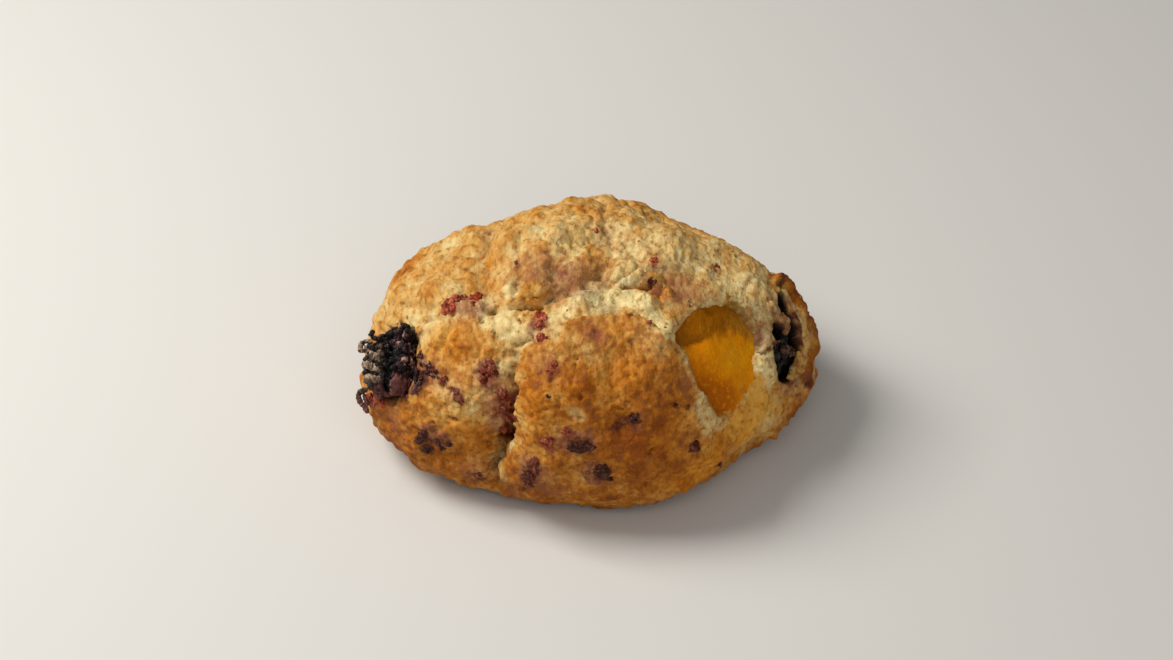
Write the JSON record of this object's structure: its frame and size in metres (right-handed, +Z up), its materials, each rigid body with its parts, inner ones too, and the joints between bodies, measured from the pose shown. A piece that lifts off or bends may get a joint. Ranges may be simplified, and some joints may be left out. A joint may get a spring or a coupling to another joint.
{
  "type": "scone",
  "caption": "Large fruit scone: a craggy oval mound of dough, torn open on top, with dark brambles in its ends and a chunk of peach showing through a tear.",
  "frame": {"origin": "bottom centre of the bounding box, on the table", "axes": "+Z up; X along the long axis with the peach towards +X; the torn side with the fruit faces -Y"},
  "size_m": [0.1098, 0.0987, 0.0527],
  "materials": {
    "dough": "baked dough, golden to brown crust, pale crumb in the tears",
    "bramble_left": "dried dark berry, greyed drupelets",
    "bramble_right": "burst dark berry, glossy with juice",
    "peach": "cooked peach, smooth and moist",
    "berry_scrap": "baked scraps of red and dark berry"
  },
  "bodies": {
    "root": {"dough": "dough", "bramble_left": "bramble_left", "bramble_right": "bramble_right", "peach_chunk": "peach", "berry_scrap_upper_left": "berry_scrap", "berry_scrap_tear": "berry_scrap", "berry_scrap_left": "berry_scrap", "berry_scrap_crack": "berry_scrap", "berry_scrap_lower_left": "berry_scrap", "berry_scrap_front": "berry_scrap", "berry_scrap_low": "berry_scrap", "berry_scrap_low_right": "berry_scrap"}
  },
  "joints": []
}
